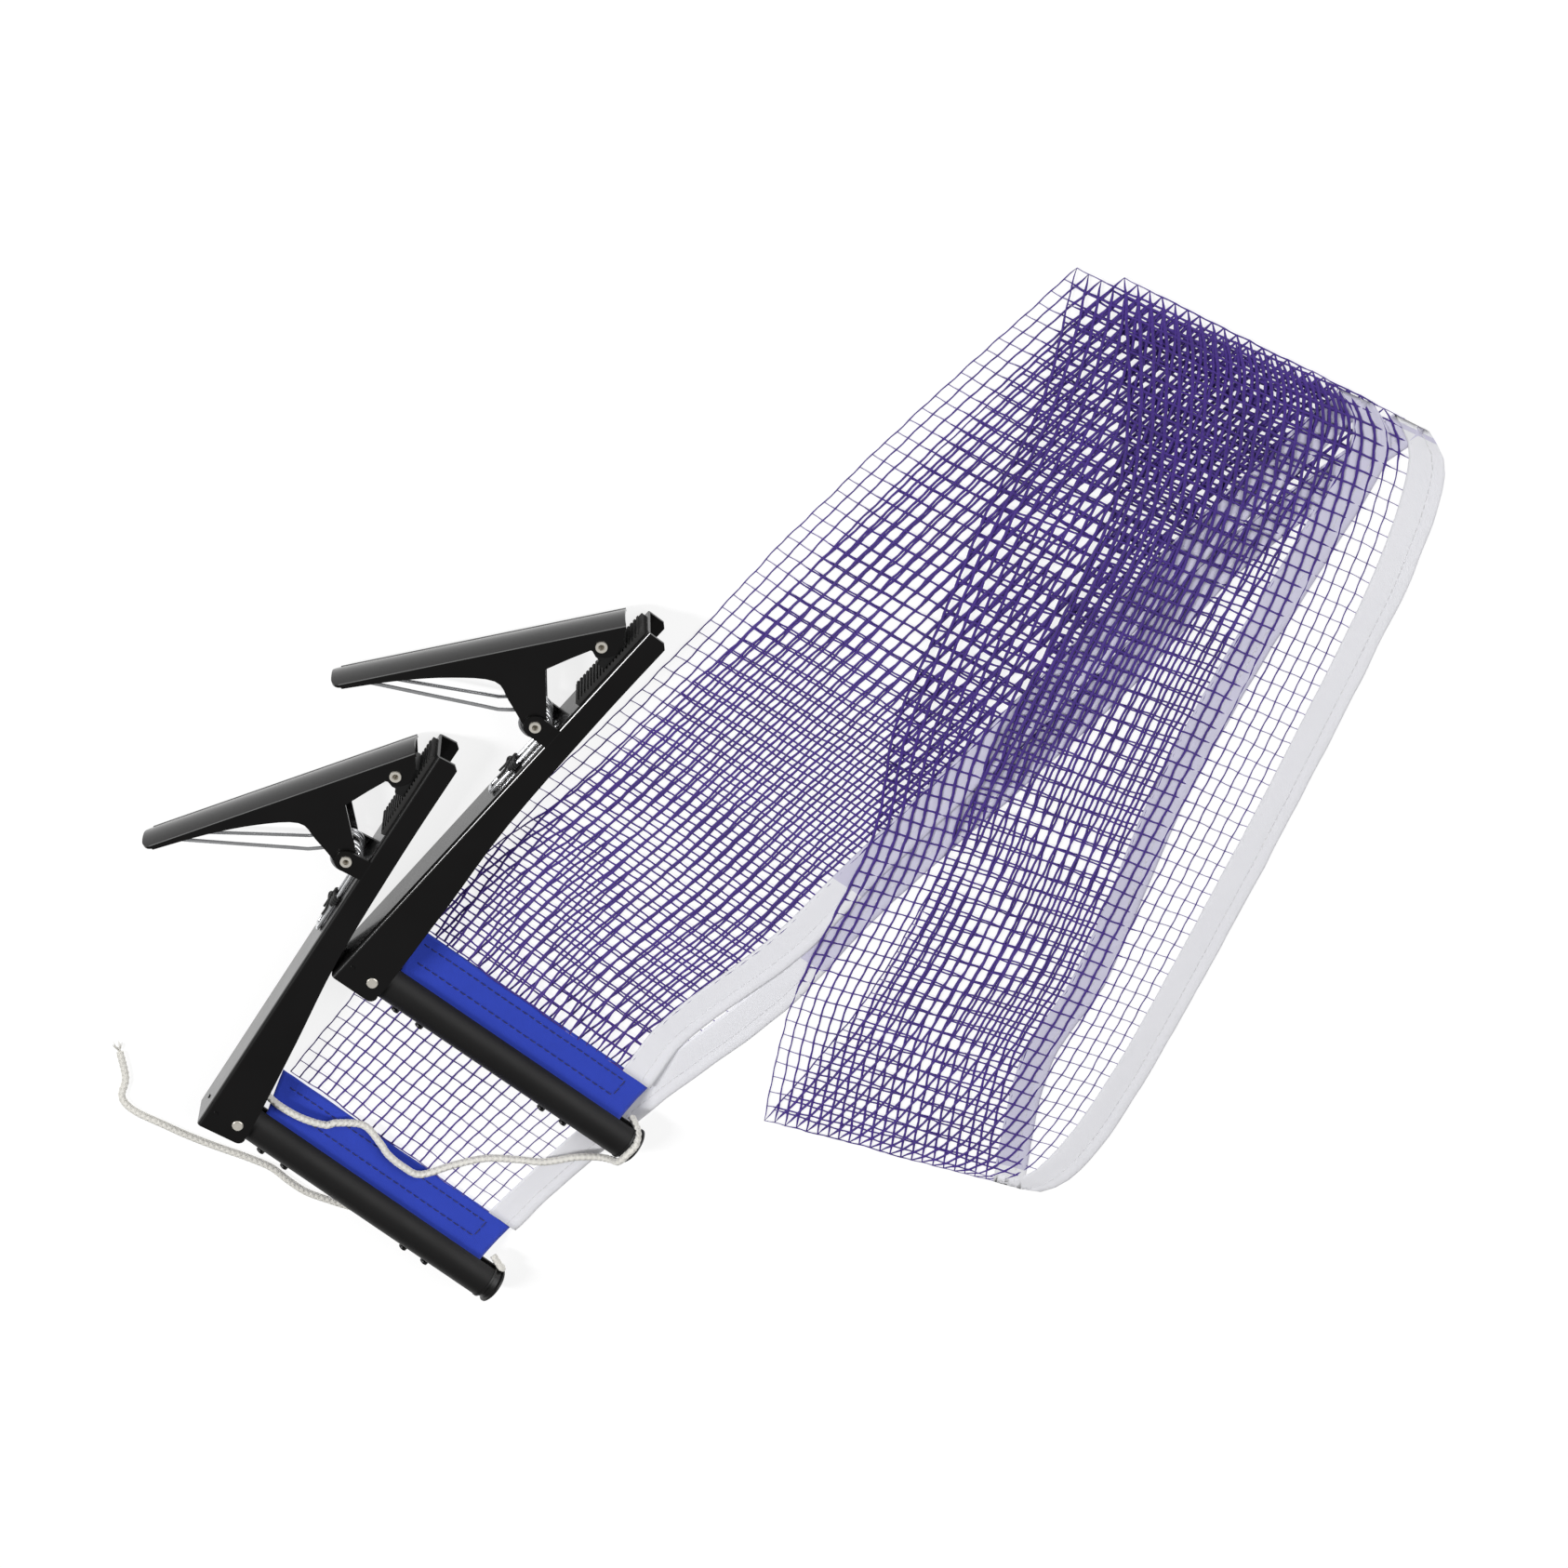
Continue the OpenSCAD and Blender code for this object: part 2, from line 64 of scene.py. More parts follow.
# The open and the taped edge of each layer of the folded net. Layer 4 is the lowest, then 1, 2 and 3 above.
OPEN_4 = [(-226, -111), (-140, -21), (-82, 22), (24, 116), (82, 168), (142, 222)]
TAPE_4 = [(-138, -204), (-73, -147), (-12, -102), (37, -52), (92, -3), (142, 43), (190, 95), (262, 147)]
OPEN_1 = [(-160, -44), (-114, 9), (-72, 47), (26, 142), (83, 193), (124, 226.5)]
TAPE_1 = [(-73, -134), (-50, -108), (-3, -75), (32, -40), (96, 21), (174, 100), (239, 161)]
OPEN_2 = [(124, 226.5), (108, 174), (76, 108), (44, 34), (29, -21), (-5, -89), (-24, -156)]
TAPE_2 = [(239, 161), (246, 140), (224, 98), (189, 39), (159, -21), (127, -99), (102, -140), (88, -200)]
OPEN_3 = [(142, 222), (139, 136), (109, 69), (75, -1), (29, -92), (-24, -156)]
TAPE_3 = [(262, 147), (269, 128), (258, 89), (225, 15), (190, -58), (140, -156), (110, -198), (88, -206)]

# The cords' middle lines, from the net outwards.
CORD_A_ROUTE = [
    (-81, -144, 8), (-78.6, -148.4, 13), (-79.6, -151.9, 18.5), (-84, -155.5, 20.9), (-88, -160, 18.8),
    (-91.5, -162.5, 13), (-97, -163.5, 9), (-107, -164, 7), (-121, -167, 4.4), (-132, -166, 2.7),
    (-146, -164, 2.7), (-160, -166, 2.7), (-175, -168, 5.4), (-182, -163, 6.2), (-188, -156, 6),
    (-191, -150, 5.2), (-197, -141, 4.2), (-208, -137, 6.8), (-213, -136.5, 8.4), (-223, -130.5, 10),
    (-233, -121, 10.5), (-239, -110, 10.5),
]
CORD_B_ROUTE = [
    (-148, -212, 8), (-144.8, -217, 11), (-145.5, -219.5, 6.5), (-149.5, -223, 2.6),
    (-154.5, -226, 1.7), (-160, -225, 1.7), (-167, -218.5, 1.7), (-177, -210.5, 1.7), (-188, -202, 1.7),
    (-201, -189, 1.7), (-215, -181.5, 1.7), (-226, -175.5, 1.7), (-233, -169, 1.7), (-240, -161, 1.7),
    (-250, -154.5, 1.7), (-262, -148, 1.7), (-273, -141.5, 1.7), (-284, -134, 1.7), (-295, -126, 1.7),
    (-299, -118.5, 1.7), (-296, -109, 1.7), (-296.5, -96, 1.7),
]
CORD_DIAMETER = 3.2

# Places on a clamp, from its pivot: the post's axis and rivet, the jaw's rivet and the arm's face. MID is the
# height of the clamp's middle plane as it lies, and POST_ROCK each post's turn on its rivet in degrees.
POST_X = 137.8
POST_RIVET_DROP = 23.2
POST_ROCK = {"a": 0.0, "b": -9.8}
JAW_RIVET = (44.5, 1.7)
MID = 10.25
FACE_Y = -8.0

# The spring's wire; an offset is how far a wire lies from the middle of the arm's width.
SPRING_WIRE = 1.6
COIL_RADIUS = 6.2
REAR_LEG = 38
REAR_LEG_OFFSET = 2.8
COIL_PITCH = 1.7
FRONT_COIL_OFFSET = 6.2
FRONT_LEG_OFFSET = 3.2
WIRE_Y = FACE_Y + SPRING_WIRE / 2 + 0.2
LASHING_X = -22.5

# ---- The net's and the tape's own sizes ----

NET_HEIGHT = 128
TAPE_WIDTH = 14
CELLS_HIGH = 22
CELL_LENGTH = 7.2
LONG_STRAND_R = 0.56
CROSS_STRAND_R = 0.38
STRAND_SIDES = 5

# How much thicker a strand is at a knot, and the share of its radius under which a cross strand gets a paler
# copy of the yarn: painted light, standing in for bright light washing the thin strands out.
LONG_KNOT = 1.22
CROSS_KNOT = 1.25
WASHOUT_BELOW = 0.8

# A layer's rise over the one below it, and how softly it steps up at that one's edge.
LAYER_RISE = 0.75
LAYER_STEP = 1.5

# How far the net's points stray, and the share of it that the tape's points do.
NET_WANDER = 1.6
NET_JITTER = 0.14
NET_RIPPLE = 0.5
TAPE_CALM = 0.25

# How far the cross strands run in under the tape, as a share of its width.
TAPE_TUCK = 0.25

# How far the net's first and last rows lift off the floor at the bands, and over how many rows.
START_LIFT = 1.2
FINISH_LIFT = 1.9
LIFTED_ROWS = 3


# ---- Curves ----


def smooth(points, steps):
    """Smooth curve through every given point, the same one as in the CAD source."""
    p = np.array(points, float)
    out = []
    for i in range(len(p) - 1):
        a, b, c, d = p[max(i - 1, 0)], p[i], p[i + 1], p[min(i + 2, len(p) - 1)]
        square, cube = 2 * a - 5 * b + 4 * c - d, 3 * b - a - 3 * c + d
        for t in np.arange(steps) / steps:
            out.append(0.5 * (2 * b + (c - a) * t + square * t**2 + cube * t**3))
    out.append(p[-1])
    return np.array(out)


def path_length(path):
    return np.linalg.norm(np.diff(path, axis=0), axis=1).sum()


def resample(path, count):
    """The path with count points, evenly spaced along it."""
    steps = np.linalg.norm(np.diff(path, axis=0), axis=1)
    along = np.concatenate([[0], np.cumsum(steps)])
    wanted = np.linspace(0, along[-1], count)
    return np.stack([np.interp(wanted, along, path[:, k]) for k in range(path.shape[1])], axis=1)


def resample_rows(rows, fine):
    """Rows with fine steps between each pair, on straight lines."""
    count = len(rows)
    wanted = np.linspace(0, count - 1, (count - 1) * fine + 1)
    low = np.minimum(wanted.astype(int), count - 2)
    t = (wanted - low).reshape(-1, *[1] * (rows.ndim - 1))
    return rows[low] * (1 - t) + rows[low + 1] * t


def unit(vectors):
    return vectors / np.maximum(np.linalg.norm(vectors, axis=-1, keepdims=True), 1e-12)


def blurred(values, passes, axis=0):
    """Values smoothed along an axis, ends kept."""
    v = np.moveaxis(np.array(values, float), axis, 0)
    for _ in range(passes):
        v[1:-1] = 0.25 * v[:-2] + 0.5 * v[1:-1] + 0.25 * v[2:]
    return np.moveaxis(v, 0, axis)


def soft_noise(shape, *passes):
    """Random values, smoothed along each axis in turn with its own number of passes."""
    values = random.normal(0, 1, shape)
    for axis, count in enumerate(passes):
        values = blurred(values, count, axis)
    return values


# ---- Meshes ----


def new_object(name, verts, faces, uvs):
    """Mesh object from points in millimetres, with one UV pair per vertex."""
    mesh = bpy.data.meshes.new(name)
    mesh.from_pydata((np.asarray(verts, float) * MM).tolist(), [], np.asarray(faces).tolist())
    layer = mesh.uv_layers.new(name="strand")
    index = np.zeros(len(mesh.loops), np.int32)
    mesh.loops.foreach_get("vertex_index", index)
    layer.data.foreach_set("uv", np.asarray(uvs, np.float32)[index].ravel())
    mesh.shade_smooth()
    obj = bpy.data.objects.new(name, mesh)
    bpy.context.scene.collection.objects.link(obj)
    return obj


def grid_faces(rows, columns, closed=False, offset=0):
    """Quads between rows and columns of points; a closed grid joins its last column to its first."""
    r = np.arange(rows - 1)[:, None]
    c = np.arange(columns if closed else columns - 1)[None, :]
    here, there = r * columns + c, r * columns + (c + 1) % columns
    return np.stack([here, here + columns, there + columns, there], axis=-1).reshape(-1, 4) + offset


def tubes(paths, radii, sides, up=UP):
    """Points, quads and UVs of round tubes along paths, which are an array of (strand, point, xyz).

    A UV pair is the share of the way round and the length along the tube, in millimetres.
    """
    paths = np.asarray(paths, float)
    strands, count = paths.shape[:2]
    heading = unit(np.gradient(paths, axis=1))
    side = unit(np.cross(heading, up))
    top = np.cross(side, heading)
    angle = 2 * math.pi * (np.arange(sides) + 0.5) / sides
    radii = np.broadcast_to(np.asarray(radii, float), (strands, count))
    offsets = np.cos(angle)[:, None] * side[:, :, None, :] + np.sin(angle)[:, None] * top[:, :, None, :]
    verts = paths[:, :, None, :] + radii[:, :, None, None] * offsets
    faces = [grid_faces(count, sides, True, s * count * sides) for s in range(strands)]
    steps = np.linalg.norm(np.diff(paths, axis=1), axis=2)
    along = np.concatenate([np.zeros((strands, 1)), np.cumsum(steps, axis=1)], axis=1)
    around = np.arange(sides)[None, None, :] / sides
    uv = np.stack(np.broadcast_arrays(around, along[:, :, None]), axis=-1).reshape(-1, 2)
    return verts.reshape(-1, 3), np.concatenate(faces), uv


def joined(parts):
    """One set of points, quads and UVs from several."""
    verts, faces, uvs, start = [], [], [], 0
    for v, f, uv in parts:
        verts.append(v)
        faces.append(f + start)
        uvs.append(uv)
        start += len(v)
    return np.concatenate(verts), np.concatenate(faces), np.concatenate(uvs)


def end_caps(obj):
    """Closes the open ends of tubes."""
    mesh = bmesh.new()
    mesh.from_mesh(obj.data)
    bmesh.ops.holes_fill(mesh, edges=[e for e in mesh.edges if e.is_boundary], sides=0)
    mesh.to_mesh(obj.data)
    mesh.free()
    obj.data.shade_smooth()


def place(obj, matrix):
    """Moves an object's points, which were made in a clamp's or post's own frame in metres."""
    obj.data.transform(matrix)
    obj.data.update()


# ---- Clamp and post frames, in metres, from the record ----


def clamp_matrix(c):
    """From a clamp's own axes, along its arm from the pivot, to the set's."""
    joints = {j["name"]: j for j in frame["joints"]}
    pivot = Vector(joints[f"lever_{c}_open"]["pos_m"])
    jaw = Vector(joints[f"jaw_{c}_swivel"]["pos_m"]) - pivot
    turn = math.atan2(jaw.y, jaw.x) - math.atan2(JAW_RIVET[1], JAW_RIVET[0])
    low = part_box(f"frame_{c}")[0].z
    return Matrix.Translation((pivot.x, pivot.y, low)) @ Matrix.Rotation(turn, 4, "Z")


def post_matrix(c):
    """The clamp's matrix with the post's rocking on its rivet added."""
    to_rivet = Matrix.Translation((-POST_X * MM, -POST_RIVET_DROP * MM, 0))
    rock = Matrix.Rotation(math.radians(POST_ROCK[c]), 4, "Z")
    return clamp_matrix(c) @ to_rivet @ rock @ to_rivet.inverted()


# ---- Materials, with bump distances in metres ----

# The spacing, in UV units, of the bands of a wave texture of scale 1.
WAVE_SPACING = 0.31


class Surface:
    """A material with short ways to add procedural detail."""

    def __init__(self, name, colour, roughness, **sockets):
        self.material = bpy.data.materials.new(name)
        self.material.use_nodes = True
        self.nodes = self.material.node_tree.nodes
        self.links = self.material.node_tree.links
        self.shader = self.nodes["Principled BSDF"]
        self.height = None
        self.set("Base Color", (*colour, 1))
        self.set("Roughness", roughness)
        for socket, value in sockets.items():
            self.set(socket.replace("_", " "), value)

    def set(self, socket, value):
        self.shader.inputs[socket].default_value = value

    def add(self, kind, **inputs):
        node = self.nodes.new(kind)
        for name, value in inputs.items():
            socket = node.inputs[name.replace("_", " ")]
            if isinstance(value, bpy.types.NodeSocket):
                self.links.new(value, socket)
            else:
                socket.default_value = value
        return node

    def place_by(self, kind, scale=(1, 1, 1)):
        """Texture coordinates, kind Object or UV, scaled."""
        source = self.nodes.new("ShaderNodeTexCoord").outputs[kind]
        return self.add("ShaderNodeMapping", Vector=source, Scale=scale).outputs["Vector"]

    def noise(self, scale, detail=3.0):
        vector = self.place_by("Object")
        return self.add("ShaderNodeTexNoise", Vector=vector, Scale=scale, Detail=detail).outputs["Fac"]

    def wave(self, scale, where, direction="X", distortion=0.0):
        node = self.add("ShaderNodeTexWave", Vector=where, Scale=scale, Distortion=distortion)
        node.bands_direction = direction
        return node.outputs["Fac"]

    def math(self, operation, a, b):
        node = self.nodes.new("ShaderNodeMath")
        node.operation = operation
        for socket, value in zip(node.inputs, (a, b)):
            if isinstance(value, bpy.types.NodeSocket):
                self.links.new(value, socket)
            else:
                socket.default_value = value
        return node.outputs["Value"]

    def ramp(self, factor, low, high):
        """Factor from 0 to 1 stretched to run from low to high."""
        node = self.add("ShaderNodeMapRange", Value=factor, To_Min=low, To_Max=high)
        return node.outputs["Result"]

    def colours(self, factor, dark, light):
        node = self.add("ShaderNodeValToRGB", Fac=factor)
        node.color_ramp.elements[0].color = (*dark, 1)
        node.color_ramp.elements[1].color = (*light, 1)
        self.links.new(node.outputs["Color"], self.shader.inputs["Base Color"])

    def drive(self, socket, factor):
        self.links.new(factor, self.shader.inputs[socket])

    def bump(self, factor, distance, strength=1.0):
        """Raises the surface by up to distance, in metres, on top of any bump it has."""
        node = self.add("ShaderNodeBump", Height=factor, Distance=distance, Strength=strength)
        if self.height is not None:
            self.links.new(self.height, node.inputs["Normal"])
        self.height = node.outputs["Normal"]
        self.links.new(self.height, self.shader.inputs["Normal"])


def tinted(colour, amount):
    return tuple(min(1.0, c * amount) for c in colour)


def powder_coat():
    s = Surface("powder_coat", (0.006, 0.006, 0.006), 0.36, Coat_Weight=0.8, Coat_Roughness=0.1)
    s.set("Specular IOR Level", 0.15)
    s.bump(s.noise(1800, 2), 0.00003, 0.25)
    s.drive("Roughness", s.ramp(s.noise(60), 0.3, 0.45))
    s.colours(s.noise(25), (0.0040, 0.0038, 0.0038), (0.008, 0.0076, 0.0076))
    return s.material


def satin_coat():
    s = Surface("satin_coat", (0.007, 0.007, 0.007), 0.55)
    s.set("Specular IOR Level", 0.35)
    s.bump(s.noise(2400, 3), 0.00003, 0.4)
    s.drive("Roughness", s.ramp(s.noise(50), 0.5, 0.62))
    s.colours(s.noise(30), (0.0055, 0.0052, 0.0052), (0.010, 0.0096, 0.0096))
    return s.material


def moulded_plastic():
    s = Surface("moulded_plastic", (0.008, 0.008, 0.008), 0.42)
    s.bump(s.noise(3500, 2), 0.00003, 0.6)
    s.colours(s.noise(90), (0.006, 0.006, 0.006), (0.011, 0.011, 0.011))
    return s.material


def pad_rubber():
    s = Surface("pad_rubber", (0.02, 0.02, 0.02), 0.8)
    s.bump(s.noise(2200, 4), 0.00006)
    s.colours(s.noise(120), (0.014, 0.014, 0.014), (0.032, 0.031, 0.030))
    return s.material


def plated_steel(name, colour, roughness, metallic):
    s = Surface(name, colour, roughness, Metallic=metallic)
    s.bump(s.noise(1500, 4), 0.00001, 0.6)
    s.drive("Roughness", s.ramp(s.noise(400), roughness * 0.7, roughness * 1.6))
    s.colours(s.noise(300), tinted(colour, 0.85), tinted(colour, 1.08))
    return s.material


def twisted_yarn(name, colour, roughness, twist):
    """Yarn or thread with its twist showing as slanting ridges; a larger twist sets them closer."""
    s = Surface(name, colour, roughness, Sheen_Weight=0.25)
    where = s.place_by("UV", (1.0, twist, 1.0))
    ridges = s.wave(1.0, where, "DIAGONAL", 1.5)
    s.bump(ridges, 0.00008, 0.7)
    s.bump(s.noise(4000, 2), 0.00003, 0.5)
    s.colours(s.noise(45), tinted(colour, 0.75), tinted(colour, 1.3))
    return s.material


def woven_cloth(name, colour, thread, variation=0.12):
    """Plain weave: crossed waves of the thread spacing, in millimetres."""
    s = Surface(name, colour, 0.85, Sheen_Weight=0.3)
    where = s.place_by("UV")
    scale = WAVE_SPACING / thread
    across, along = s.wave(scale, where, "X", 0.6), s.wave(scale, where, "Y", 0.6)
    s.bump(s.math("MAXIMUM", across, along), 0.00012, 0.8)
    s.bump(s.noise(2500, 3), 0.00004, 0.5)
    # Colour darkens where the weave's waves are low: painted shade in the valleys between threads, mixed half
    # and half with random tone.
    weave = s.math("MULTIPLY", across, along)
    shade_and_tone = s.math("ADD", s.math("MULTIPLY", weave, 0.5), s.math("MULTIPLY", s.noise(35), 0.5))
    s.colours(shade_and_tone, tinted(colour, 1 - variation), tinted(colour, 1 + variation))
    return s.material


def floor_paint():
    s = Surface("floor_paint", (0.25, 0.25, 0.25), 0.9)
    s.set("Emission Color", (1, 1, 1, 1))
    s.set("Emission Strength", 0.82)
    s.colours(s.noise(2), (0.24, 0.24, 0.24), (0.26, 0.26, 0.26))
    return s.material


def assign(obj, *materials):
    obj.data.materials.clear()
    for m in materials:
        obj.data.materials.append(m)


# ---- Camera, light and floor, in metres ----

CAMERA_LENS = 85.4
CAMERA_POSITION = (-0.0041, 0.7539, 1.3539)
CAMERA_RIGHT = (0.99717, -0.06589, 0.03614)
CAMERA_UP = (0.07515, 0.87432, -0.47954)
WORLD_LIGHT = 0.1
FLOOR_REACH = 4.0


def make_camera():
    data = bpy.data.cameras.new("camera")
    data.lens = CAMERA_LENS
    data.sensor_width = 36
    data.clip_end = 20
    camera = bpy.data.objects.new("camera", data)
    bpy.context.scene.collection.objects.link(camera)
    right, up = Vector(CAMERA_RIGHT), Vector(CAMERA_UP)
    turn = Matrix((right, up, right.cross(up))).transposed().to_4x4()
    camera.matrix_world = Matrix.Translation(CAMERA_POSITION) @ turn
    bpy.context.scene.camera = camera
    bpy.context.scene.view_settings.view_transform = "Standard"


def area_light(name, position, size, power):
    """Rectangular lamp aimed at the middle of the set."""
    data = bpy.data.lights.new(name, "AREA")
    data.shape = "RECTANGLE"
    data.size, data.size_y = size
    data.energy = power
    light = bpy.data.objects.new(name, data)
    bpy.context.scene.collection.objects.link(light)
    light.location = position
    light.rotation_euler = (-Vector(position)).to_track_quat("-Z", "Y").to_euler()


def make_stage():
    world = bpy.data.worlds.new("studio")
    world.use_nodes = True
    background = world.node_tree.nodes["Background"]
    background.inputs["Color"].default_value = (1, 1, 1, 1)
    background.inputs["Strength"].default_value = WORLD_LIGHT
    bpy.context.scene.world = world
    area_light("key", (-1.6, 0.4, 1.6), (0.3, 0.8), 34)
    area_light("fill", (1.7, 0.8, 1.4), (2.2, 2.2), 38)
    corners = [(FLOOR_REACH * x, FLOOR_REACH * y, 0) for x, y in ((-1, -1), (1, -1), (1, 1), (-1, 1))]
    mesh = bpy.data.meshes.new("floor")
    mesh.from_pydata(corners, [], [(0, 1, 2, 3)])
    floor = bpy.data.objects.new("floor", mesh)
    bpy.context.scene.collection.objects.link(floor)
    assign(floor, floor_paint())


# ---- Cords ----

# Step along the cord, points round it, ridges of each family and the length of their turn, then the share of
# the cord's radius left in a groove and the share that a ridge adds.
BRAID_STEP = 0.45
BRAID_SIDES = 20
BRAID_RIDGES = 3
BRAID_LAY = 7.5
BRAID_GROOVE = 0.84
BRAID_RELIEF = 0.2

FIBRE_COUNT = 16
FIBRE_R = 0.14
FIBRE_LOWEST = 0.2


def braided_cord(name, route, material):
    """Round braid: two families of ridges that cross over each other along the cord."""
    path = smooth(route, 12) + FOOTPRINT_SHIFT
    path = resample(path, int(path_length(path) / BRAID_STEP))
    path[:, 2] = np.maximum(path[:, 2], CORD_DIAMETER / 2)
    along = np.arange(len(path))[:, None] * BRAID_STEP
    around = 2 * math.pi * (np.arange(BRAID_SIDES) + 0.5)[None, :] / BRAID_SIDES
    lay = 2 * math.pi / BRAID_LAY
    one = np.cos(BRAID_RIDGES * around + BRAID_RIDGES * lay * along)
    other = np.cos(BRAID_RIDGES * around - BRAID_RIDGES * lay * along)
    relief = BRAID_GROOVE + BRAID_RELIEF * np.maximum(one, other)
    v, f, uv = tubes(path[None], CORD_DIAMETER / 2, BRAID_SIDES)
    centre = np.repeat(path, BRAID_SIDES, axis=0)
    v = centre + (v - centre) * relief.reshape(-1, 1)
    obj = new_object(name, v, f, uv)
    end_caps(obj)
    assign(obj, material)
    return obj, path


def frayed_end(name, path, material):
    """Loose fibres at the cut end of a cord, each spreading, lifting and bending in its own way."""
    tip, heading = path[-1], unit(path[-1] - path[-6])
    side = np.cross(heading, UP)
    t = np.linspace(-0.3, 1, 6)[:, None]
    fibres = []
    for _ in range(FIBRE_COUNT):
        spread = random.uniform(-0.45, 0.45)
        lift = random.uniform(-0.12, 0.3)
        length = random.uniform(2.5, 5.5)
        bend = random.uniform(-0.6, 0.6)
        fibre = tip + length * t * heading + side * (spread * length * t + bend * t**2)
        fibre[:, 2] += (lift * length * t[:, 0]) - 0.5 * t[:, 0] ** 2
        fibre[:, 2] = np.clip(fibre[:, 2], FIBRE_LOWEST, None)
        fibres.append(fibre)
    obj = new_object(name, *tubes(fibres, FIBRE_R, 5))
    end_caps(obj)
    assign(obj, material)
    return obj


def make_cords():
    cotton = woven_cloth("cotton_braid", (0.88, 0.86, 0.80), 0.35)
    for c, route in (("a", CORD_A_ROUTE), ("b", CORD_B_ROUTE)):
        cord, path = braided_cord(f"braided_cord_{c}", route, cotton)
        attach(cord, "set")
        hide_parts(f"cord_{c}")
        if c == "b":
            frayed = frayed_end("frayed_end_b", path, cotton)
            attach(frayed, "set")


# ---- Net ----


def inside(points, outline):
    """How far inside an outline each point is, in millimetres; negative outside."""
    a, b = outline, np.roll(outline, -1, axis=0)
    p = points.reshape(-1, 1, 2)
    edge = b - a
    t = np.clip(((p - a) * edge).sum(-1) / (edge**2).sum(-1), 0, 1)
    distance = np.linalg.norm(p - (a + t[..., None] * edge), axis=-1).min(axis=1)
    above = (a[:, 1] > p[..., 1]) != (b[:, 1] > p[..., 1])
    slope = np.where(edge[:, 1] == 0, 1e-9, edge[:, 1])
    crossing = a[:, 0] + (p[..., 1] - a[:, 1]) * edge[:, 0] / slope
    odd = (above & (p[..., 0] < crossing)).sum(axis=1) % 2 == 1
    return np.where(odd, distance, -distance).reshape(points.shape[:-1])


def net_layers():
    """Open edge, tape edge and level (0 is the bottom) of each layer, in the order that the net runs."""
    runs = [
        (OPEN_4, TAPE_4, 0),
        (OPEN_3, TAPE_3, 3),
        (OPEN_2[::-1], TAPE_2[::-1], 2),
        (OPEN_1[::-1], TAPE_1[::-1], 1),
    ]
    return [(smooth(o, 8), smooth(t, 8), level) for o, t, level in runs]


def net_rows():
    """Open-edge point, tape-edge point and level of every cross row, knot by knot along the net."""
    edges, tapes, levels = [], [], []
    for open_edge, tape_edge, level in net_layers():
        cells = round((path_length(open_edge) + path_length(tape_edge)) / 2 / CELL_LENGTH)
        o, t = resample(open_edge, cells + 1), resample(tape_edge, cells + 1)
        if edges:
            edges[-1], tapes[-1] = (edges[-1] + o[0]) / 2, (tapes[-1] + t[0]) / 2
            o, t = o[1:], t[1:]
        edges.extend(o)
        tapes.extend(t)
        levels.extend([level] * len(o))
    return np.array(edges), np.array(tapes), np.array(levels)


def layer_outlines():
    """Outline and level of each layer."""
    return [(np.concatenate([o, t[::-1]]), level) for o, t, level in net_layers()]


def coverage(points, outline):
    """1 well inside an outline and 0 well outside, with a soft step between."""
    return 1 / (1 + np.exp(-inside(points, outline) / LAYER_STEP))


def stack_height(points, levels):
    """Height of the net's mid surface: one layer's rise for every layer that lies underneath."""
    height = np.zeros(points.shape[:-1])
    for outline, under in layer_outlines():
        height += np.where(levels[:, None] > under, coverage(points, outline), 0)
    return LAYER_RISE * height


def layer_count(points):
    """How many layers of net lie over each point of the floor."""
    return sum(coverage(points, outline) for outline, _ in layer_outlines())


def cover_over(points, levels):
    """How many layers of net lie on top of each point of a row of points at the given levels."""
    outlines = layer_outlines()
    return sum((inside(points, outline) > 0) & (levels < level - 0.5) for outline, level in outlines)


def strand_share(grid):
    """Share of its full radius that a strand has at each point of the net.

    Strands are thicker where layers are packed on each other, and thinner near both edges of a lone layer.
    """
    layers = np.clip(layer_count(grid), 1, 4)
    fade = np.interp(np.arange(grid.shape[1]), [0, 3, 13, 20], [0.65, 1, 1, 0.62])
    return (0.52 + 0.2 * layers) * np.where(layers < 1.5, fade[None, :], 1)


def net_surface():
    """Grid of points over the whole net, row by row, with its strands' share of radius and its rows' levels.

    The grid's last column is the tape's outer edge.
    """
    edge, tape, levels = net_rows()
    across = np.append(np.linspace(0, 1 - TAPE_WIDTH / NET_HEIGHT, CELLS_HIGH + 1), 1.0)
    grid = edge[:, None, :] + across[None, :, None] * (tape - edge)[:, None, :]
    wander = soft_noise(grid.shape, 12, 6) * NET_WANDER
    jitter = random.normal(0, NET_JITTER, grid.shape)
    calm = np.ones(len(across))
    calm[-2:] = TAPE_CALM
    grid = grid + (wander + jitter) * calm[None, :, None]
    height = LONG_STRAND_R + blurred(blurred(stack_height(grid, levels), 2, 0), 2, 1)
    ripple = np.abs(soft_noise(height.shape, 10, 5))
    height += NET_RIPPLE * ripple / ripple.max()
    row = np.arange(len(edge))
    height += START_LIFT * np.clip(1 - row / LIFTED_ROWS, 0, 1)[:, None]
    height += FINISH_LIFT * np.clip(1 - row[::-1] / LIFTED_ROWS, 0, 1)[:, None]
    share = strand_share(grid)
    height = np.maximum(height, LONG_KNOT * LONG_STRAND_R * share)
    return np.concatenate([grid + FOOTPRINT_SHIFT[:2], height[..., None]], axis=-1), share, levels


def halfway(values):
    """Adds the mean between each pair of neighbours along the last axis."""
    out = np.repeat(values, 2, axis=-1)[..., :-1]
    out[..., 1::2] = (values[..., 1:] + values[..., :-1]) / 2
    return out


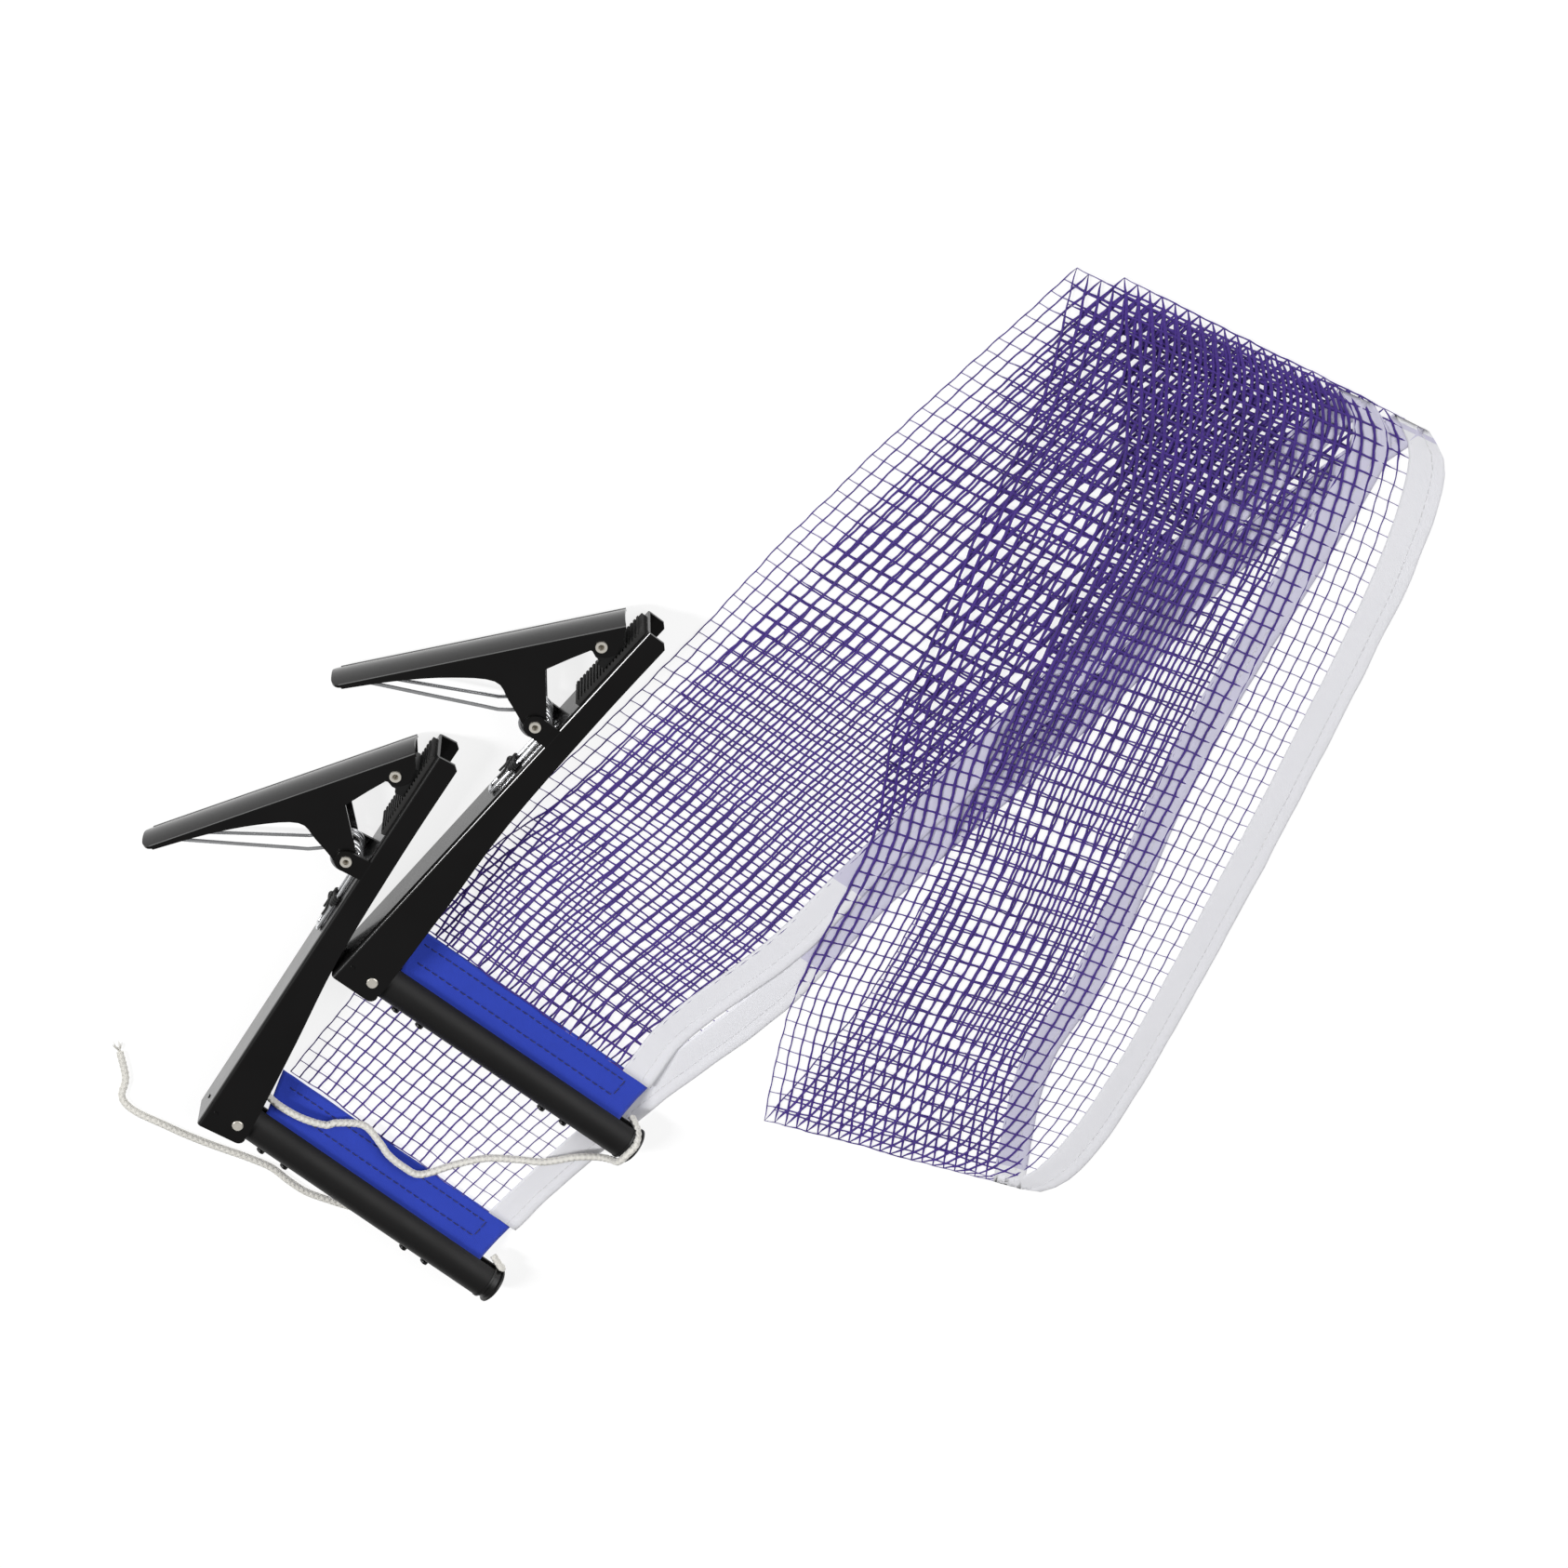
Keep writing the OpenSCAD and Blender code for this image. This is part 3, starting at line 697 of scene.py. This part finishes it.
def with_middles(paths, bow):
    """Adds a point between each pair of knots, pushed aside by turns, so that the strands snake a little."""
    strands, count = paths.shape[:2]
    out = np.zeros((strands, 2 * count - 1, 3))
    out[:, ::2] = paths
    middle = (paths[:, 1:] + paths[:, :-1]) / 2
    side = unit(np.cross(paths[:, 1:] - paths[:, :-1], UP))
    turn = (-1.0) ** (np.arange(count - 1)[None, :] + np.arange(strands)[:, None])
    out[:, 1::2] = middle + bow * turn[..., None] * side
    return out


def make_net(surface, share):
    knots = surface[:, : CELLS_HIGH + 1]
    tuck = surface[:, CELLS_HIGH] + TAPE_TUCK * (surface[:, -1] - surface[:, CELLS_HIGH])
    long_paths = with_middles(knots.transpose(1, 0, 2), 0.16)
    cross_paths = with_middles(np.concatenate([knots, tuck[:, None]], axis=1), 0.1)
    long_radii = LONG_STRAND_R * halfway(share[:, : CELLS_HIGH + 1].T)
    cross_radii = CROSS_STRAND_R * halfway(share)
    long_radii[:, ::2] *= LONG_KNOT
    cross_radii[:, ::2] *= CROSS_KNOT
    long_part = tubes(long_paths, long_radii, STRAND_SIDES)
    cross_part = tubes(cross_paths, cross_radii, STRAND_SIDES)
    net = new_object("net_strands", *joined([long_part, cross_part]))
    yarn = twisted_yarn("net_yarn", (0.050, 0.013, 0.24), 0.6, 0.35)
    # Thin cross strands get a paler copy of the yarn: painted light, standing in for bright light washing
    # them out.
    washed_out_yarn = twisted_yarn("net_yarn_painted_washout", (0.22, 0.18, 0.40), 0.7, 0.5)
    assign(net, yarn, washed_out_yarn)
    washed_out = (cross_radii[:, 1:] + cross_radii[:, :-1]) / 2 < WASHOUT_BELOW * CROSS_STRAND_R
    looks = np.zeros(len(net.data.polygons), np.int32)
    looks[len(long_part[1]) :] = np.repeat(washed_out.ravel(), STRAND_SIDES)
    net.data.polygons.foreach_set("material_index", looks)
    end_caps(net)
    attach(net, "set")
    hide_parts("net_mesh")


# ---- Tape ----

# Points across the tape, the one that the seam runs along, and the share of its width that covers the net.
TAPE_COLUMNS = 15
STITCH_COLUMN = 9
TAPE_OVERLAP = 0.08

# Half thickness in the middle and at the edges, and the tape's lift over the net's mid surface.
TAPE_HALF = 0.26
TAPE_EDGE = 0.03
TAPE_LIFT = 0.25


def ridge(position, middle, spread, height):
    return height * np.exp(-(((position - middle) / spread) ** 2))


def tape_section(position):
    """Half thickness of the tape at a position from its inner edge (0) to its outer edge (1)."""
    edge = np.sqrt(np.clip(1 - position**8, 0, 1))
    hem = ridge(position, 0.86, 0.09, 0.35)
    seam = ridge(position, 0.62, 0.03, -0.12)
    return (TAPE_HALF + hem + seam) * edge + TAPE_EDGE


def tape_centre(inner, outer, position):
    """Grid of points in the middle of the tape, row by row, puckered and fluttering a little."""
    count = len(inner)
    centre = inner[:, None] + position[None, :, None] * (outer - inner)[:, None]
    pucker = soft_noise((count, len(position)), 2, 3) * 0.16
    centre[..., 2] += TAPE_LIFT + pucker
    flutter = soft_noise((count,), 3) * 0.3
    heading = unit(outer - inner)
    centre += (flutter[:, None, None] * position[None, :, None]) * heading[:, None]
    lowest = TAPE_EDGE + tape_section(position)[None, :]
    centre[..., 2] = np.maximum(centre[..., 2], lowest)
    return centre


def make_tape(surface, levels):
    """Folded white tape over the net's top edge: two plies with the cord's hem along the fold."""
    fine = 2
    rows = resample_rows(surface[:, -2:], fine)
    inner, outer = rows[:, 0], rows[:, 1]
    inner = inner - TAPE_OVERLAP * (outer - inner)
    position = np.linspace(0, 1, TAPE_COLUMNS)
    centre = tape_centre(inner, outer, position)
    half = tape_section(position)[None, :, None] * UP
    section = np.concatenate([centre + half, (centre - half)[:, ::-1]], axis=1)
    count, around = section.shape[:2]
    across = np.concatenate([position, position[::-1]]) * TAPE_WIDTH
    along = np.arange(count) * CELL_LENGTH / fine
    uv = np.stack(np.broadcast_arrays(across[None, :], along[:, None]), axis=-1).reshape(-1, 2)
    tape = new_object("top_tape", section.reshape(-1, 3), grid_faces(count, around, True), uv)
    end_caps(tape)
    cloth = woven_cloth("tape_cloth", (0.94, 0.94, 0.99), 0.5, variation=0.03)
    # Where net layers lie on top, the tape gets a darker lavender copy of its cloth: painted shade from the
    # net above.
    painted_shade_cloth = woven_cloth("tape_cloth_painted_shade", (0.70, 0.68, 0.84), 0.5, variation=0.04)
    assign(tape, cloth, painted_shade_cloth)
    middle = (inner + outer)[:, :2] / 2 - FOOTPRINT_SHIFT[:2]
    # Rows that lie under a higher layer of net get the painted shade.
    painted_shade_rows = cover_over(middle, resample_rows(levels.astype(float), fine)) > 0.5
    looks = np.zeros(len(tape.data.polygons), np.int32)
    looks[: (count - 1) * around] = np.repeat(painted_shade_rows[:-1], around)
    tape.data.polygons.foreach_set("material_index", looks)
    seam_line = centre[:, STITCH_COLUMN] + half[:, STITCH_COLUMN] * 1.1
    thread = new_object("tape_stitches", *stitch_row(seam_line, 2.6, 0.9, 0.16))
    end_caps(thread)
    assign(thread, twisted_yarn("white_thread", (0.82, 0.81, 0.88), 0.7, 1.2))
    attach(tape, "set")
    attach(thread, "set")
    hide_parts("net_tape")


def stitch_row(path, length, gap, radius):
    """Short raised stitches along a path."""
    parts, used = 8, 7
    count = max(2, int(path_length(path) / (length + gap)))
    fine = resample(path, count * parts + 1)
    arch = np.sin(math.pi * np.linspace(0, 1, 5))
    stitches = []
    for start in range(0, count * parts, parts):
        stitch = resample(fine[start : start + used], 5)
        stitch[:, 2] += radius * 0.9 * arch - radius * 0.5
        stitches.append(stitch)
    return tubes(stitches, radius, 5)


# ---- End bands ----

ROD_WRAP_R = 3.45
BAND_THICKNESS = 0.4
BAND_GAP = 0.5

# The band's ends along the post, measured down from the pivot.
BAND_START = 32
BAND_FINISH = 151

# Rows down the band, points between the section's given ones, and how many of the points its top ply has.
BAND_ROWS = 64
BAND_SMOOTHING = 3
BAND_TOP_COLUMNS = 16

# Where the stitch lines run, as shares of the width from the band's outer edge.
BAND_STITCH_LINES = (0.2, 0.55)
BAND_STITCH_R = 0.27


def band_section():
    """Line of the folded band as seen along the post, in over the top, round the rod and out underneath.

    Its points are (x from the post's axis, z from the arm's middle).
    """
    outer = [(24.0, 0.95), (20.0, 2.6), (16.0, 4.7), (12.0, 7.1), (9.0, 9.1)]
    top = [(x, z - MID) for x, z in outer] + [(6.5, 0.3)]
    turn = np.radians(np.linspace(35, 325, 14))
    arc = [(ROD_WRAP_R * math.cos(a), ROD_WRAP_R * math.sin(a)) for a in turn]
    bottom = [(x, z - BAND_GAP) for x, z in top[::-1]]
    return smooth([*top, *arc, *bottom], BAND_SMOOTHING)


def raised_line(surface, across):
    """Line along a grid of points at a share of its width, lifted to lie on top."""
    column = across * (surface.shape[1] - 1)
    low = int(column)
    line = surface[:, low] * (1 - column + low) + surface[:, low + 1] * (column - low)
    return line + 0.33 * UP


def band_points(section):
    """Grid of points of the band, down the post row by row; further out it is taller and waves more."""
    down = np.linspace(0, 1, BAND_ROWS)
    reach = np.clip((section[:, 0] - 8) / 16, 0, 1)
    start, finish = BAND_START - 5 * reach, BAND_FINISH + 3 * reach
    y = -(start[None, :] + (finish - start)[None, :] * down[:, None])
    x = np.broadcast_to(section[:, 0], y.shape) - POST_X
    wave = soft_noise(y.shape, 8) * 0.5 * reach[None, :]
    z = np.broadcast_to(section[:, 1], y.shape) + MID + blurred(wave, 4, 1)
    return np.stack([x, y, z], axis=-1)


def make_band(c, cloth, thread):
    section = band_section()
    points = band_points(section)
    along = np.concatenate([[0], np.cumsum(np.linalg.norm(np.diff(section, axis=0), axis=1))])
    uv = np.stack(np.broadcast_arrays(along[None, :], -points[..., 1]), axis=-1).reshape(-1, 2)
    band = new_object(f"end_band_{c}", points.reshape(-1, 3), grid_faces(*points.shape[:2]), uv)
    place(band, post_matrix(c))
    solid = band.modifiers.new("thickness", "SOLIDIFY")
    solid.thickness = BAND_THICKNESS * MM
    solid.offset = 0
    assign(band, cloth)
    top = points[:, :BAND_TOP_COLUMNS]
    lines = [raised_line(top, across)[3:-5] for across in BAND_STITCH_LINES]
    end_bar = resample(np.array([lines[0][-1], lines[1][-1]]), 12)
    rows = [stitch_row(line, 2.4, 1.3, BAND_STITCH_R) for line in (*lines, end_bar)]
    stitches = new_object(f"band_stitches_{c}", *joined(rows))
    end_caps(stitches)
    place(stitches, post_matrix(c))
    assign(stitches, thread)
    for piece in (band, stitches):
        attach(piece, "set")
    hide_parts(f"hem_band_{c}")


# ---- Springs ----


def both_sides(half):
    """The whole wire from its half: out on one side of the arm's middle, back on the other."""
    half = np.array(half, float)
    low, high = half * (1, 1, -1), half[::-1]
    return np.concatenate([low, high]) + (0, 0, MID)


def coil(first, last, count, offset, pitch):
    """Points round the pivot between two angles in degrees, out by the pitch for each turn past -90."""
    points = []
    for a in np.radians(np.linspace(first, last, count)):
        out = offset + pitch * (a + math.pi / 2) / 2 / math.pi
        points.append((COIL_RADIUS * math.cos(a), COIL_RADIUS * math.sin(a), out))
    return points


def spring_paths():
    """Rear and front parts of the spring wire, as (x, y, z) from the pivot."""
    rear = [
        *coil(270, -90, 33, REAR_LEG_OFFSET, COIL_PITCH),
        (-4, WIRE_Y + 0.4, REAR_LEG_OFFSET),
        (-10, WIRE_Y, REAR_LEG_OFFSET),
        (-24, WIRE_Y, REAR_LEG_OFFSET),
        (1 - REAR_LEG, WIRE_Y, REAR_LEG_OFFSET),
        (-REAR_LEG, WIRE_Y, REAR_LEG_OFFSET - 0.8),
        (-REAR_LEG - 0.4, WIRE_Y, 0.7),
    ]
    front = [
        *coil(-270, 45, 29, FRONT_COIL_OFFSET, 0),
        (0.5, 8.5, FRONT_COIL_OFFSET - 0.2),
        (-4.5, 14.5, FRONT_COIL_OFFSET - 0.5),
        (-8, 21, FRONT_COIL_OFFSET - 0.9),
        (-31.5, 66.2, FRONT_LEG_OFFSET),
        (-32.4, 67.9, FRONT_LEG_OFFSET - 0.9),
        (-32.8, 68.6, 0.9),
    ]
    return both_sides(rear), both_sides(front)


def make_spring(c, chrome):
    tilted = unit(np.array([0, 0.7, 1]))
    rear, front = spring_paths()
    for path, name, node, body in (
        (rear, "spring_rear", "spring_coils", "set"),
        (front, "spring_front", "spring_legs", f"lever_{c}"),
    ):
        wire = new_object(f"{name}_{c}", *tubes(smooth(path, 2)[None], SPRING_WIRE / 2, 14, tilted))
        end_caps(wire)
        place(wire, clamp_matrix(c))
        assign(wire, chrome)
        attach(wire, body)
        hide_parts(f"{node}_{c}")


# ---- Lashings ----

# Length of the winding along the wires, its turns and the black cord's radius.
LASHING_WIDTH = 4.4
LASHING_TURNS = 4
LASHING_CORD_R = 0.55


def squarish(wave):
    """A sine or cosine with fuller shoulders, so that a loop made with it has flatter sides."""
    return np.sign(wave) * np.abs(wave) ** 0.7


def make_lashing(c, material):
    """Black cord wound round the two rear wires, with a knot and two short tails."""
    a = np.linspace(0, 2 * math.pi * LASHING_TURNS, LASHING_TURNS * 28)
    x = LASHING_X - LASHING_WIDTH / 2 + LASHING_WIDTH * a / a[-1]
    y = WIRE_Y + 0.25 + 1.35 * squarish(np.sin(a))
    z = MID + (REAR_LEG_OFFSET + 1.5) * squarish(np.cos(a))
    winding = np.stack([x, np.maximum(y, FACE_Y + 0.5), z], axis=1)
    from_wires = np.array([LASHING_X, WIRE_Y, MID])
    knot = from_wires + [
        (1.5, 1.6, -1), (0, 2.6, 1.2), (-1.8, 2.4, 0), (-0.4, 2.9, -1.6),
        (1.2, 2.5, 0.2), (-1.5, 2.2, 1.6), (-5, 1.6, 2.6), (-9, 1.5, 2.2),
    ]
    tail = from_wires + [(-0.5, 2.2, -1.5), (-4, 1.6, -2.4), (-8, 1.5, -3.0)]
    tilted = unit(np.array([0.8, 0.1, 0.3]))
    parts = [tubes(smooth(p, 4)[None], LASHING_CORD_R, 8, tilted) for p in (winding, knot, tail)]
    lashing = new_object(f"lashing_{c}", *joined(parts))
    end_caps(lashing)
    place(lashing, clamp_matrix(c))
    assign(lashing, material)
    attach(lashing, "set")
    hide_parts(f"spring_lashing_{c}")


# ---- The whole scene ----


def dress_cad_nodes():
    """Materials for the CAD nodes that the render shows as they are."""
    looks = {
        "frame": powder_coat(),
        "post_tube": satin_coat(),
        "jaw_foot": moulded_plastic(),
        "rubber_pad": pad_rubber(),
        "pivot_rivet": plated_steel("rivet_steel", (0.84, 0.80, 0.72), 0.25, 0.4),
    }
    same = {
        "lever": "frame",
        "post_cap": "jaw_foot",
        "cord_studs": "jaw_foot",
        "jaw_rivet": "pivot_rivet",
        "post_rivet": "pivot_rivet",
        "hem_rod": "pivot_rivet",
    }
    for name, obj in frame["nodes"].items():
        kind = name[:-2]
        look = looks.get(same.get(kind, kind))
        if look:
            assign(obj, look)


def main():
    make_camera()
    make_cords()
    make_stage()
    dress_cad_nodes()
    surface, share, levels = net_surface()
    make_net(surface, share)
    make_tape(surface, levels)
    band_cloth = woven_cloth("band_cloth", (0.017, 0.055, 0.56), 0.45)
    band_thread = twisted_yarn("band_thread", (0.008, 0.014, 0.15), 0.6, 1.2)
    chrome = plated_steel("spring_chrome_wire", (0.84, 0.85, 0.87), 0.14, 0.75)
    black_cord = woven_cloth("black_cord", (0.012, 0.012, 0.012), 0.4)
    for c in "ab":
        make_band(c, band_cloth, band_thread)
        make_spring(c, chrome)
        make_lashing(c, black_cord)


main()
